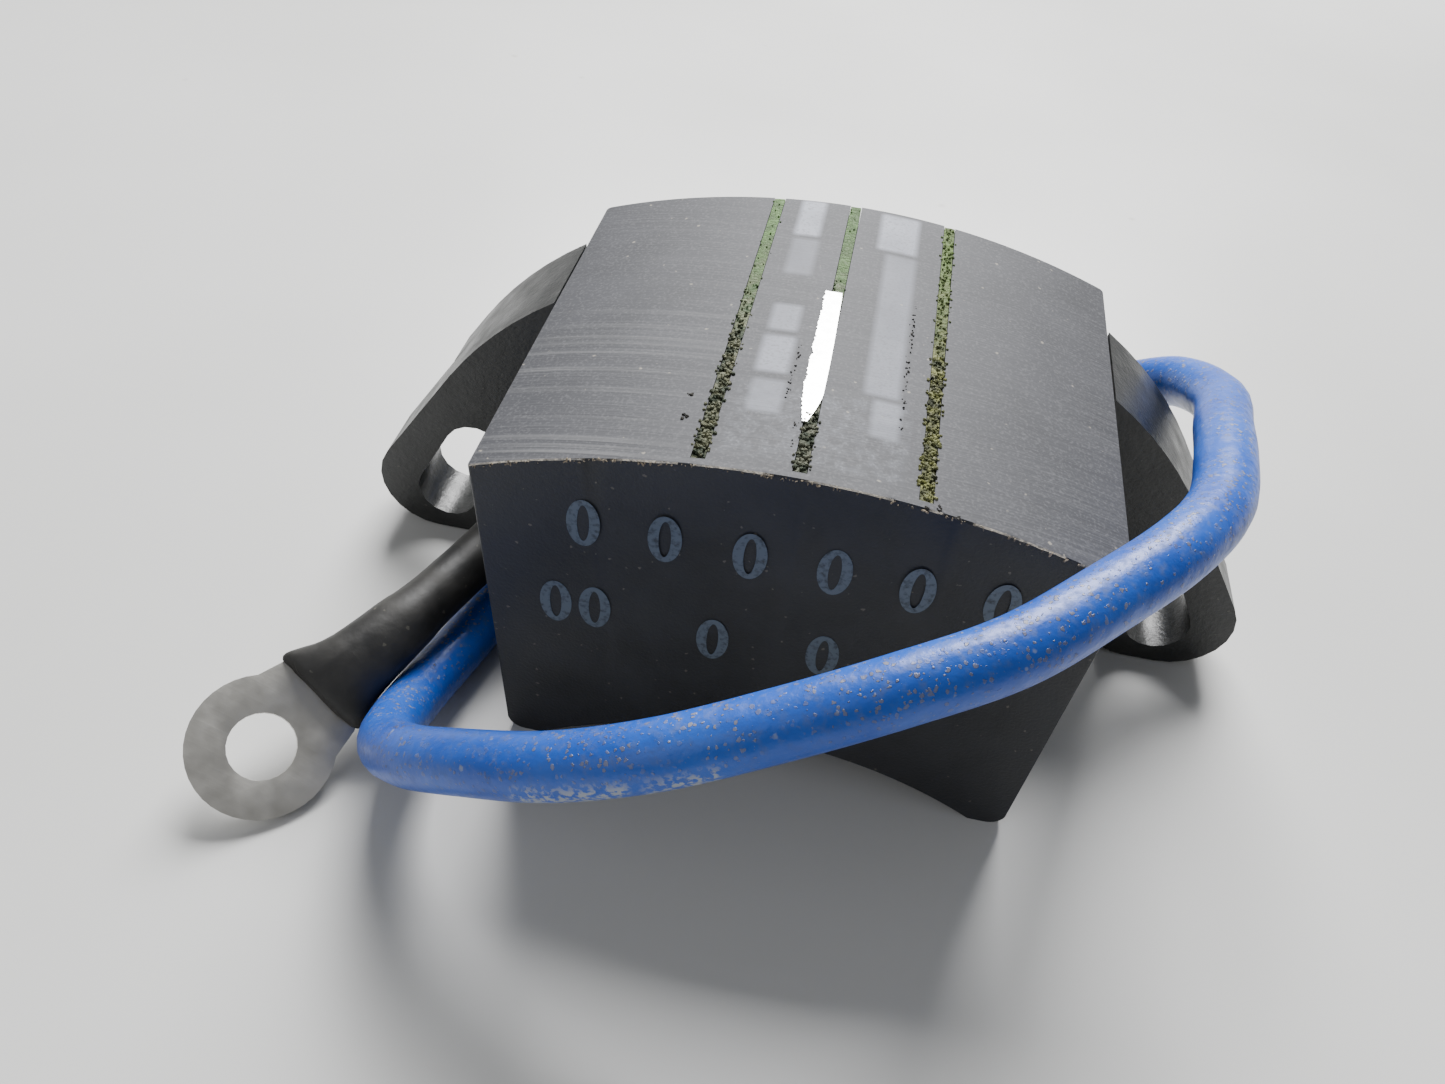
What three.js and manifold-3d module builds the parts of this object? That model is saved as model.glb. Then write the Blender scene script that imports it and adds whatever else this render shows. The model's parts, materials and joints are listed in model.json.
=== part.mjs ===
// Ignition coil for a small engine: a moulded block with a ground, cylindrical top, a laminated
// core that comes out of both sides as slotted mounting ears, and one flexible lead that ends in
// a ring terminal. Millimetres, +Z up. The origin is on the surface that the block stands on,
// under the middle of the block. +X runs from ear to ear and +Y runs from front to back.
import * as THREE from 'three';
import { mergeVertices } from 'three/addons/utils/BufferGeometryUtils.js';
import Module from 'manifold-3d';

const wasm = await Module();
wasm.setup();

// Block
const TOP_HALF = 25.0; // half width at the two top edges
const FOOT_HALF = 23.2; // half width just above the rounded feet
const SIDE_HEIGHT = 31.5; // height of the two top edges
const DEPTH = 42.0;
const TOP_RADIUS = 71.4; // ground top, to match the flywheel
const ARCH_RISE = 5.8; // height of the hollow underside
const FOOT_RADIUS = 1.6;
const FOOT_LAND = 1.5; // width of the flat that each foot rests on
const SIDE_WALL = 3.0;
const END_WALL = 2.2;
const TOP_WALL = 3.2;
const DISH_RADIUS = 40.0; // face of the resin, below the rim of the case
const DISH_DEPTH = 0.7;
const GAP = 0.3;
const EXIT_HOLE_R = 1.6;
const COVER = 1.0; // how far a cutter runs past the face that it opens

// Core and ears
const PLATE = 0.88;
const PLATE_PITCH = 0.92;
const LONG_PLATES = 7;
const SHORT_PLATES = 5;
const CORE_FRONT = 3.0; // Y of the first plate's front face
const CORE_Z = 20.0; // middle of the limb that carries the windings
const CORE_HALF_Z = 4.0;
const CORE_TOP_Z = 30.3; // top of the plates where they leave the block
const CORE_SHOULDER = [15.4, 20.8]; // X where the plates start to rise, and where they reach their top
const EAR_TOP_Z = 31.2;
const EAR_START = TOP_HALF + GAP;
const EAR_ARC = 39.0; // radius of the ear's shoulder
const EAR_SHALLOW = 33; // slope of the ear's outer edge at the block, degrees
const EAR_STEEP = 55; // its slope at the lobe
const LOBE = { x: 39.0, z: 6.1, r: 5.9 };
const LOBE_INNER = { x: 35.5, z: 4.3, r: 4.1 };
const SLOT_R = 3.2;
const SLOT_LOW = { x: 37.6, z: 5.4 };
const SLOT_HIGH = { x: 34.1, z: 11.6 };
const EAR_ROOT_Z = 16.0; // lower edge of the ear where it leaves the block
const EAR_INNER = [[30.6, 8.3], [28.6, 12.1]]; // inner edge, from the lobe up to the root
const SHORT_CORNER = [[0, 2.2], [-0.5, 0.7], [-1.7, 0]]; // rounded lower corner of a short plate
const SHORT_INNER_X = 27.6;
const SHORT_END_Z = 15.6; // the short plates stop above the slot
const RIVET_X = 18.4;
const RIVET_R = 1.45;
const RIVET_HEAD_R = 2.35;
const RIVET_SEAT = 0.02;

// Windings, each given by its half sizes round the limb
const CORE_Y = CORE_FRONT + ((LONG_PLATES + SHORT_PLATES) * PLATE_PITCH) / 2;
const CORE_HALF_Y = 5.5;
const WIND_HALF = 13.2;
const FLANGE = 1.0;
const BOBBIN_WALL = 0.9;
const PRIMARY_BUILD = 1.1;
const SECONDARY_BUILD = 1.2;
const PAPER = 0.3;
const LAYER_GAP = 0.1;

// Inlaid strips
const STRIP_X = { left: -7.65, middle: -0.2, right: 9.05 };
const STRIP_WIDTH = 1.0;
const STRIP_FRONT = -DEPTH / 2 + 1.0;
const STRIP_FLOOR = 29.82;

// Lead
const LEAD_R = 2.5;
const EXIT = new THREE.Vector3(-23.45, -2.9, 3.9);
const EXIT_DIR = new THREE.Vector3(-0.6, -0.79, -0.1).normalize();
const GROMMET_LENGTH = 5.0;
const LEAD_ROUTE = [
  [-26.7, -7.1, 3.4], [-27.8, -8.6, 3.2], [-29.6, -14.5, 2.8], [-31.2, -22.5, 3.8], [-30.5, -30, 7.5],
  [-26.5, -34.5, 12.5], [-20.5, -37, 17], [-13.5, -38.5, 21], [-6, -38.5, 25], [1.5, -36.5, 28],
  [9, -34, 31], [16, -30.5, 33], [22, -25, 34], [27.5, -19, 34.5], [31.5, -12, 33.5],
  [33.5, -4, 32], [35, 3.5, 30], [36.5, 11.5, 27.5], [34.5, 19, 24], [29.5, 23.5, 19],
  [22.5, 26.5, 15.5], [15, 28, 12.5], [7, 29, 11], [-1.5, 29.5, 10], [-9.5, 29.5, 9.5],
  [-18, 27.5, 9], [-25, 23.5, 8], [-28, 16, 7.5], [-28, 8, 7.5], [-28, 0.2, 8],
];
const CONDUCTOR_R = 1.4;
const CONDUCTOR_ROUTE = [[-28.1, -0.3, 8.2], [-28.3, -3.6, 8.9], [-29.2, -8, 9.5], [-31.2, -12.6, 8.9]];
const WIRE_R = { earth: 0.4, output: 0.7 };
const EARTH_WIRE = [[14.9, -1.2, 16.4], [16.6, -2.2, 16.2], [18.4, -1.2, 16.0], [18.4, 1.4, 15.8]];
const OUTPUT_WIRE = [
  [-16.6, -2.4, 10.0], [-17.6, -0.6, 8.0], [-18.8, 1.0, 5.6], [-20.4, 1.1, 4.81], [-21.5, -0.33, 4.62],
  [-22.5, -1.65, 4.46],
];

// Ring terminal, laid out along its own X from the middle of the ring to the barrel
const RING_CENTRE = new THREE.Vector3(-41.8, -31.3, 4.2);
const RING_AXIS = new THREE.Vector3(0.483, 0.85, 0.208).normalize();
const RING_NORMAL = new THREE.Vector3(0.424, -0.436, 0.795);
const RING_R = 6.2;
const RING_HOLE_R = 2.9;
const RING_PLATE = 1.0;
const NECK_HALF = 4.3;
const NECK_AT = 6.4;
const BARREL_R = 2.2;
const BARREL_BORE = 1.75;
const BARREL_FROM = 9.6;
const BARREL_TO = 16.2;
const BARREL_LIFT = 0.9;
const TONGUE_HALF = 1.7; // the neck's tongue, under the barrel
const TONGUE_TO = 11.6;
const NECK_ROOT = 4.9; // half width of the ring where the neck leaves it
const SLEEVE_OVER_LEAD = 3.1;
const SLEEVE_OVER_WIRE = 2.4;
const SLEEVE_WALL = 0.45;
const SLEEVE_SIDES = 20;
const SLEEVE_START = [[-28, 2.4, 7.9], [-28.1, -0.8, 8.2]]; // over the end of the lead
// Stations on the terminal: place along it, lift, half width, half height, squareness of the section
const SLEEVE_ON_TERMINAL = [
  [BARREL_TO + 1.4, BARREL_LIFT, 2.5, 2.5, 2], [BARREL_TO + 0.2, BARREL_LIFT, 2.9, 2.9, 2],
  [BARREL_FROM + 0.2, BARREL_LIFT - 0.1, 3.2, 3.0, 2.4], [BARREL_FROM - 1.6, 0.3, 4.3, 2.2, 3],
  [BARREL_FROM - 3.4, 0.0, 5.1, 1.6, 4],
];

const COLOURS = {
  case: [0x26272a, 0.55, 0.0], resin: [0x1f2022, 0.45, 0.0], core: [0x1d1e20, 0.5, 0.3],
  copper: [0xb4673a, 0.4, 0.9], bobbin: [0xd9d2bd, 0.6, 0.0], paper: [0xc9b27a, 0.8, 0.0],
  strip: [0x5d7a3a, 0.7, 0.4], brass: [0xb99a4b, 0.4, 0.9], steel: [0x8c8f94, 0.35, 0.9],
  blue: [0x1550c4, 0.4, 0.0], sleeve: [0x1b1c1c, 0.5, 0.0], tin: [0xb7b4ae, 0.35, 0.9],
  grommet: [0x202124, 0.7, 0.0],
};

const part = new THREE.Group();

function addPiece(name, geometry, finish, place = new THREE.Matrix4()) {
  const [color, roughness, metalness] = COLOURS[finish];
  const mesh = new THREE.Mesh(geometry, new THREE.MeshStandardMaterial({ color, roughness, metalness }));
  mesh.name = name;
  place.decompose(mesh.position, mesh.quaternion, mesh.scale);
  part.add(mesh);
  return mesh;
}

// Solids for cutting and joining

function toSolid(geometry, matrix) {
  const bare = geometry.clone();
  bare.deleteAttribute('normal');
  bare.deleteAttribute('uv');
  if (matrix) bare.applyMatrix4(matrix);
  const merged = mergeVertices(bare, 1e-4);
  return new wasm.Manifold(new wasm.Mesh({
    numProp: 3,
    vertProperties: new Float32Array(merged.attributes.position.array),
    triVerts: new Uint32Array(merged.index.array),
  }));
}

function toGeometry(solid) {
  const mesh = solid.getMesh();
  const geometry = new THREE.BufferGeometry();
  geometry.setAttribute('position', new THREE.BufferAttribute(new Float32Array(mesh.vertProperties), 3));
  geometry.setIndex(new THREE.BufferAttribute(new Uint32Array(mesh.triVerts), 1));
  return geometry;
}

function boxSolid(x0, x1, y0, y1, z0, z1) {
  const box = new THREE.BoxGeometry(x1 - x0, y1 - y0, z1 - z0);
  return toSolid(box.translate((x0 + x1) / 2, (y0 + y1) / 2, (z0 + z1) / 2));
}

function arcPoints(cx, cz, r, fromDeg, toDeg, steps) {
  const points = [];
  for (let i = 0; i <= steps; i++) {
    const a = THREE.MathUtils.degToRad(fromDeg + ((toDeg - fromDeg) * i) / steps);
    points.push(new THREE.Vector2(cx + r * Math.cos(a), cz + r * Math.sin(a)));
  }
  return points;
}

// An outline in X and Z is extruded along Y from its front face to its back face.
function extrudeY(shape, front, back) {
  const geometry = new THREE.ExtrudeGeometry(shape, { depth: back - front, bevelEnabled: false });
  return geometry.rotateX(Math.PI / 2).translate(0, back, 0);
}

// Block outline

const CROWN = SIDE_HEIGHT + TOP_RADIUS - Math.sqrt(TOP_RADIUS ** 2 - TOP_HALF ** 2);
const TOP_CENTRE_Z = CROWN - TOP_RADIUS;

function sideX(z, inset = 0) {
  return FOOT_HALF + ((TOP_HALF - FOOT_HALF) * z) / SIDE_HEIGHT - inset;
}

function topArc(radius, half, steps) {
  const a = THREE.MathUtils.radToDeg(Math.asin(half / radius));
  return arcPoints(0, TOP_CENTRE_Z, radius, 90 - a, 90 + a, steps);
}

function blockShape() {
  const footX = FOOT_HALF - FOOT_RADIUS;
  const landInner = footX - FOOT_LAND;
  const archRadius = (landInner ** 2 + ARCH_RISE ** 2) / (2 * ARCH_RISE);
  const archHalf = THREE.MathUtils.radToDeg(Math.asin(landInner / archRadius));
  const points = [
    ...topArc(TOP_RADIUS, TOP_HALF, 24),
    ...arcPoints(-footX, FOOT_RADIUS, FOOT_RADIUS, 180, 270, 5),
    ...arcPoints(0, ARCH_RISE - archRadius, archRadius, 90 + archHalf, 90 - archHalf, 16),
    ...arcPoints(footX, FOOT_RADIUS, FOOT_RADIUS, 270, 360, 5),
  ];
  return new THREE.Shape(points);
}

function cavityShape() {
  const high = sideX(SIDE_HEIGHT - TOP_WALL, SIDE_WALL);
  const low = sideX(0, SIDE_WALL);
  const foot = [new THREE.Vector2(-low, -COVER), new THREE.Vector2(low, -COVER)];
  return new THREE.Shape([...topArc(TOP_RADIUS - TOP_WALL, high, 16), ...foot]);
}

const cavityHalfY = DEPTH / 2 - END_WALL;
const coreBack = CORE_FRONT + (LONG_PLATES + SHORT_PLATES) * PLATE_PITCH;

function corePassage(clear) {
  const half = TOP_HALF + COVER;
  const low = CORE_Z - CORE_HALF_Z - clear;
  return boxSolid(-half, half, CORE_FRONT - clear, coreBack + clear, low, CORE_TOP_Z + clear);
}

function stripSlots(clear) {
  const cutters = Object.values(STRIP_X).map((x) => {
    const half = STRIP_WIDTH / 2 + clear;
    const floor = STRIP_FLOOR - clear;
    return boxSolid(x - half, x + half, STRIP_FRONT - clear, DEPTH / 2 + COVER, floor, CROWN + COVER);
  });
  return cutters.reduce((all, cutter) => all.add(cutter));
}

function exitMatrix() {
  const turn = new THREE.Quaternion().setFromUnitVectors(new THREE.Vector3(0, 1, 0), EXIT_DIR);
  return new THREE.Matrix4().compose(EXIT, turn, new THREE.Vector3(1, 1, 1));
}

function buildCase() {
  const block = toSolid(extrudeY(blockShape(), -DEPTH / 2, DEPTH / 2));
  const cavity = toSolid(extrudeY(cavityShape(), -cavityHalfY, cavityHalfY));
  const exitHole = toSolid(new THREE.CylinderGeometry(EXIT_HOLE_R, EXIT_HOLE_R, 14, 16), exitMatrix());
  const hollow = block.subtract(cavity).subtract(corePassage(0.1)).subtract(stripSlots(0.05))
    .subtract(exitHole);
  addPiece('moulded_case', toGeometry(hollow), 'case');
}

// The resin fills the case and is dished a little below the rim of the arched underside.
function buildPotting() {
  const fill = toSolid(extrudeY(cavityShape(), -cavityHalfY + 0.05, cavityHalfY - 0.05));
  const dish = new THREE.CylinderGeometry(DISH_RADIUS, DISH_RADIUS, DEPTH * 2, 96);
  const dishZ = ARCH_RISE + DISH_DEPTH - DISH_RADIUS;
  const under = toSolid(dish, new THREE.Matrix4().makeTranslation(0, 0, dishZ));
  const shrink = new THREE.Matrix4().makeScale(0.998, 1, 0.998);
  const body = fill.transform([...shrink.elements]);
  const windings = boxSolid(-15.0, 15.0, -2.4, DEPTH, 10.6, 29.0);
  const rivets = boxSolid(-21.2, 21.2, 1.4, coreBack + 1.4, 17.2, 22.8);
  const tagRoom = boxSolid(-18.0, -14.8, -8.0, 2.4, 5.0, 14.0);
  const leftPocket = boxSolid(-22.0, -18.0, -8.0, 2.4, 3.2, 14.0).add(tagRoom);
  const rightPocket = boxSolid(14.8, 20.6, -3.2, 2.6, 13.6, 24.6);
  const resin = body.subtract(under).subtract(windings).subtract(corePassage(0.15)).subtract(rivets)
    .subtract(stripSlots(0.15)).subtract(leftPocket).subtract(rightPocket);
  addPiece('potting_resin', toGeometry(resin), 'resin');
}

// Core plates

function earOuter(sign, cutZ) {
  const start = THREE.MathUtils.degToRad(EAR_SHALLOW);
  const end = THREE.MathUtils.degToRad(EAR_STEEP);
  const points = [];
  for (let i = 0; i <= 6; i++) {
    const a = start + ((end - start) * i) / 6;
    const run = EAR_ARC * (Math.sin(a) - Math.sin(start));
    const drop = EAR_ARC * (Math.cos(start) - Math.cos(a));
    points.push([EAR_START + run, EAR_TOP_Z - drop]);
  }
  if (cutZ === undefined) {
    const lobe = arcPoints(LOBE.x, LOBE.z, LOBE.r, 90 - EAR_STEEP, -90, 8);
    const inner = arcPoints(LOBE_INNER.x, LOBE_INNER.z, LOBE_INNER.r, -90, -150, 4);
    points.push(...[...lobe, ...inner].map((p) => [p.x, p.y]), ...EAR_INNER);
  } else {
    const [lastX, lastZ] = points[points.length - 1];
    const edgeX = lastX + (lastZ - cutZ - SHORT_CORNER[0][1]) / Math.tan(end);
    points.push(...SHORT_CORNER.map(([x, z]) => [edgeX + x, cutZ + z]), [SHORT_INNER_X, cutZ]);
  }
  points.push([EAR_START, EAR_ROOT_Z]);
  return points.map(([x, z]) => new THREE.Vector2(sign * x, z));
}

function slotHole(sign) {
  const tilt = THREE.MathUtils.radToDeg(Math.atan2(SLOT_HIGH.z - SLOT_LOW.z, SLOT_HIGH.x - SLOT_LOW.x));
  const low = arcPoints(SLOT_LOW.x, SLOT_LOW.z, SLOT_R, tilt + 90, tilt + 270, 8);
  const high = arcPoints(SLOT_HIGH.x, SLOT_HIGH.z, SLOT_R, tilt - 90, tilt + 90, 8);
  return new THREE.Path([...low, ...high].map((p) => new THREE.Vector2(sign * p.x, p.y)));
}

function plateShape(long) {
  const limbTop = CORE_Z + CORE_HALF_Z;
  const limbLow = CORE_Z - CORE_HALF_Z;
  const cut = long ? undefined : SHORT_END_Z;
  const top = CORE_TOP_Z - 0.1;
  const rise = [[CORE_SHOULDER[0], limbTop], [CORE_SHOULDER[1], top], [EAR_START, top]];
  const right = rise.map(([x, z]) => new THREE.Vector2(x, z));
  const left = right.map((p) => new THREE.Vector2(-p.x, p.y)).reverse();
  const low = [new THREE.Vector2(21, limbLow), new THREE.Vector2(-21, limbLow)];
  const outline = [...right, ...earOuter(1, cut), ...low, ...earOuter(-1, cut).reverse(), ...left];
  const shape = new THREE.Shape(outline.reverse());
  for (const sign of [-1, 1]) {
    if (long) shape.holes.push(slotHole(sign));
    shape.holes.push(new THREE.Path(arcPoints(sign * RIVET_X, CORE_Z, RIVET_R + 0.05, 0, 330, 11)));
  }
  return shape;
}

function buildCore() {
  const longShape = plateShape(true);
  const shortShape = plateShape(false);
  for (let i = 0; i < LONG_PLATES + SHORT_PLATES; i++) {
    const long = i < LONG_PLATES;
    const number = String(long ? i + 1 : i + 1 - LONG_PLATES).padStart(2, '0');
    const front = CORE_FRONT + i * PLATE_PITCH;
    const name = long ? `core_plate_long_${number}` : `core_plate_short_${number}`;
    addPiece(name, extrudeY(long ? longShape : shortShape, front, front + PLATE), 'core');
  }
}

function buildRivets() {
  const length = coreBack - CORE_FRONT;
  const head = RIVET_HEAD_R;
  const dome = head * 0.7;
  const back = length - RIVET_SEAT;
  const profile = [[0, -0.8], [dome, -0.8], [head, -0.35], [head, -RIVET_SEAT], [RIVET_R, -RIVET_SEAT],
    [RIVET_R, back], [head, back], [head, back + 0.32], [dome, back + 0.77], [0, back + 0.77]];
  const points = profile.map(([r, y]) => new THREE.Vector2(r, y));
  for (const [side, sign] of [['left', -1], ['right', 1]]) {
    const rivet = new THREE.LatheGeometry(points, 12).translate(sign * RIVET_X, CORE_FRONT, CORE_Z);
    addPiece(`core_rivet_${side}`, rivet, 'steel');
  }
}

// Windings: rounded rectangular sleeves along X

function roundedRect(halfY, halfZ, r, Kind) {
  const corners = [[1, 1, 0], [-1, 1, 90], [-1, -1, 180], [1, -1, 270]];
  const corner = ([sy, sz, a]) => arcPoints(sy * (halfY - r), sz * (halfZ - r), r, a, a + 90, 3);
  return new Kind(corners.flatMap(corner));
}

function sleeveX(innerY, innerZ, wall, halfLength, offset = 0) {
  const shape = roundedRect(innerY + wall, innerZ + wall, 1.6, THREE.Shape);
  shape.holes.push(roundedRect(innerY, innerZ, 0.9, THREE.Path));
  const geometry = new THREE.ExtrudeGeometry(shape, { depth: 2 * halfLength, bevelEnabled: false });
  return geometry.translate(0, 0, -halfLength).rotateX(Math.PI / 2).rotateZ(Math.PI / 2)
    .translate(offset, CORE_Y, CORE_Z);
}

function buildWindings() {
  let y = CORE_HALF_Y + 0.3;
  let z = CORE_HALF_Z + 0.3;
  const flangeWall = BOBBIN_WALL + PRIMARY_BUILD + SECONDARY_BUILD + 2 * PAPER + 4 * LAYER_GAP + 0.2;
  const tube = toSolid(sleeveX(y, z, BOBBIN_WALL, WIND_HALF + FLANGE));
  const flangeX = WIND_HALF + FLANGE / 2;
  const flanges = [-1, 1].map((side) => toSolid(sleeveX(y, z, flangeWall, FLANGE / 2, side * flangeX)));
  addPiece('bobbin', toGeometry(tube.add(flanges[0]).add(flanges[1])), 'bobbin');
  y += BOBBIN_WALL + LAYER_GAP;
  z += BOBBIN_WALL + LAYER_GAP;
  const layers = [['primary_winding', PRIMARY_BUILD, 'copper'], ['interlayer_insulation', PAPER, 'paper'],
    ['secondary_winding', SECONDARY_BUILD, 'copper'], ['outer_insulation', PAPER, 'paper']];
  for (const [name, wall, finish] of layers) {
    addPiece(name, sleeveX(y, z, wall, WIND_HALF - 0.1), finish);
    y += wall + LAYER_GAP;
    z += wall + LAYER_GAP;
  }
}

// The strips lie in slots along the top and were ground flush with it.
function buildStrips() {
  const corners = [-TOP_HALF, TOP_HALF].map((x) => new THREE.Vector2(x, CORE_Z));
  const shape = new THREE.Shape([...topArc(TOP_RADIUS, TOP_HALF, 24), ...corners]);
  const outer = toSolid(extrudeY(shape, -DEPTH / 2, DEPTH / 2));
  for (const [side, x] of Object.entries(STRIP_X)) {
    const half = STRIP_WIDTH / 2;
    const blade = boxSolid(x - half, x + half, STRIP_FRONT, DEPTH / 2 - 0.1, STRIP_FLOOR, CROWN + COVER);
    addPiece(`inlay_strip_${side}`, toGeometry(blade.intersect(outer)), 'strip');
  }
}

// Wiring

function tube(points, radius, sides, steps) {
  const route = points.map((p) => new THREE.Vector3(...p));
  const curve = new THREE.CatmullRomCurve3(route, false, 'centripetal');
  const section = new THREE.Shape(arcPoints(0, 0, radius, 0, 360 - 360 / sides, sides - 1));
  return new THREE.ExtrudeGeometry(section, { steps, extrudePath: curve, bevelEnabled: false });
}

function buildWiring() {
  const earthTag = boxSolid(16.2, 20.2, 1.7, 2.1, 14.6, 23.6);
  addPiece('earth_tag', toGeometry(earthTag), 'brass');
  addPiece('earth_wire', tube(EARTH_WIRE, WIRE_R.earth, 8, 8), 'copper');
  const outputTag = boxSolid(-15.6, -15.1, -6.0, -1.0, 9.0, 13.4);
  addPiece('output_tag', toGeometry(outputTag), 'brass');
  addPiece('output_wire', tube(OUTPUT_WIRE, WIRE_R.output, 8, 12), 'copper');
}

function buildGrommet() {
  const profile = [[0, -4], [3.7, -4], [3.7, 1.2], [3.2, 1.9], [2.95, GROMMET_LENGTH - 0.3],
    [2.65, GROMMET_LENGTH], [0, GROMMET_LENGTH]];
  const points = profile.map(([r, y]) => new THREE.Vector2(r, y));
  const plug = toSolid(new THREE.LatheGeometry(points, 24), exitMatrix());
  const outside = boxSolid(-2 * TOP_HALF, -sideX(EXIT.z) - GAP, -DEPTH, DEPTH, -COVER, CROWN);
  addPiece('lead_grommet', toGeometry(plug.intersect(outside)), 'grommet');
}

// A tube whose section changes along its route. Each station gives the half width across the
// terminal's plate, the half height square to it, the wall, and how square the section is.
function sleeveLoft(stations, sides) {
  const up = RING_NORMAL.clone().normalize();
  const rings = stations.map(({ at, half, rise, wall, square }, i) => {
    const before = stations[Math.max(i - 1, 0)].at;
    const after = stations[Math.min(i + 1, stations.length - 1)].at;
    const along = after.clone().sub(before).normalize();
    const across = new THREE.Vector3().crossVectors(up, along).normalize();
    const lift = new THREE.Vector3().crossVectors(along, across);
    const power = (v) => Math.sign(v) * Math.abs(v) ** (2 / square);
    const ring = (inset) => Array.from({ length: sides }, (_, k) => {
      const a = (2 * Math.PI * k) / sides;
      const x = (half - inset) * power(Math.cos(a));
      const y = (rise - inset) * power(Math.sin(a));
      return at.clone().addScaledVector(across, x).addScaledVector(lift, y);
    });
    return { outer: ring(0), inner: ring(wall) };
  });
  const outline = [...rings.map((r) => r.outer), ...rings.map((r) => r.inner).reverse()];
  const position = outline.flat().flatMap((p) => [p.x, p.y, p.z]);
  const index = [];
  for (let i = 0; i < outline.length; i++) {
    const next = (i + 1) % outline.length;
    for (let k = 0; k < sides; k++) {
      const [a, b] = [i * sides + k, i * sides + ((k + 1) % sides)];
      const [c, d] = [next * sides + k, next * sides + ((k + 1) % sides)];
      index.push(a, b, c, b, d, c);
    }
  }
  const geometry = new THREE.BufferGeometry();
  geometry.setAttribute('position', new THREE.Float32BufferAttribute(position, 3));
  geometry.setIndex(index);
  return geometry;
}

function terminalMatrix() {
  const x = RING_AXIS.clone();
  const y = new THREE.Vector3().crossVectors(RING_NORMAL, x).normalize();
  const z = new THREE.Vector3().crossVectors(x, y);
  return new THREE.Matrix4().makeBasis(x, y, z).setPosition(RING_CENTRE);
}

// The sleeve grips the end of the lead, then the bare conductor, then the barrel, and spreads
// flat over the neck of the ring.
function buildSleeve() {
  const free = [...SLEEVE_START, ...CONDUCTOR_ROUTE.slice(1)];
  const stations = free.map((at, i) => {
    const overLead = i < SLEEVE_START.length;
    const r = overLead ? SLEEVE_OVER_LEAD : SLEEVE_OVER_WIRE;
    return { at: new THREE.Vector3(...at), half: r, rise: r, wall: overLead ? 0.3 : 0.5, square: 2 };
  });
  const matrix = terminalMatrix();
  for (const [x, lift, half, rise, square] of SLEEVE_ON_TERMINAL) {
    const at = new THREE.Vector3(x, 0, lift).applyMatrix4(matrix);
    stations.push({ at, half, rise, wall: SLEEVE_WALL, square });
  }
  addPiece('heat_shrink_sleeve', sleeveLoft(stations, SLEEVE_SIDES), 'sleeve');
}

function buildTerminal() {
  const neckAngle = THREE.MathUtils.radToDeg(Math.asin(NECK_ROOT / RING_R));
  const side = [[NECK_AT, NECK_HALF], [BARREL_FROM, TONGUE_HALF], [TONGUE_TO, TONGUE_HALF]];
  const outline = [...side.map(([x, y]) => [x, -y]), ...side.reverse()];
  const neck = outline.map(([x, y]) => new THREE.Vector2(x, y));
  const shape = new THREE.Shape([...arcPoints(0, 0, RING_R, neckAngle, 360 - neckAngle, 28), ...neck]);
  shape.holes.push(new THREE.Path(arcPoints(0, 0, RING_HOLE_R, 0, 345, 23)));
  const plate = new THREE.ExtrudeGeometry(shape, { depth: RING_PLATE, bevelEnabled: false });
  plate.translate(0, 0, -RING_PLATE / 2);
  const length = BARREL_TO - BARREL_FROM;
  const roundBar = (r, size) => toSolid(new THREE.CylinderGeometry(r, r, size, 20).rotateZ(-Math.PI / 2)
    .translate((BARREL_FROM + BARREL_TO) / 2, 0, BARREL_LIFT));
  const barrel = roundBar(BARREL_R, length);
  const bore = roundBar(BARREL_BORE, length + 2 * COVER);
  const terminal = toSolid(plate).add(barrel).subtract(bore);
  addPiece('ring_terminal', toGeometry(terminal), 'tin', terminalMatrix());
}

function buildLead() {
  addPiece('lead', tube(LEAD_ROUTE, LEAD_R, 10, 46), 'blue');
  const barrelMouth = new THREE.Vector3(BARREL_TO + 0.5, 0, BARREL_LIFT).applyMatrix4(terminalMatrix());
  const conductor = [...CONDUCTOR_ROUTE, barrelMouth.toArray()];
  addPiece('lead_conductor', tube(conductor, CONDUCTOR_R, 8, 10), 'copper');
}

buildCase();
buildPotting();
buildCore();
buildRivets();
buildWindings();
buildStrips();
buildWiring();
buildGrommet();
buildLead();
buildSleeve();
buildTerminal();

export default part;
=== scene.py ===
import json
import math
import random

import bpy
from mathutils import Euler, Matrix, Vector, noise

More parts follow.
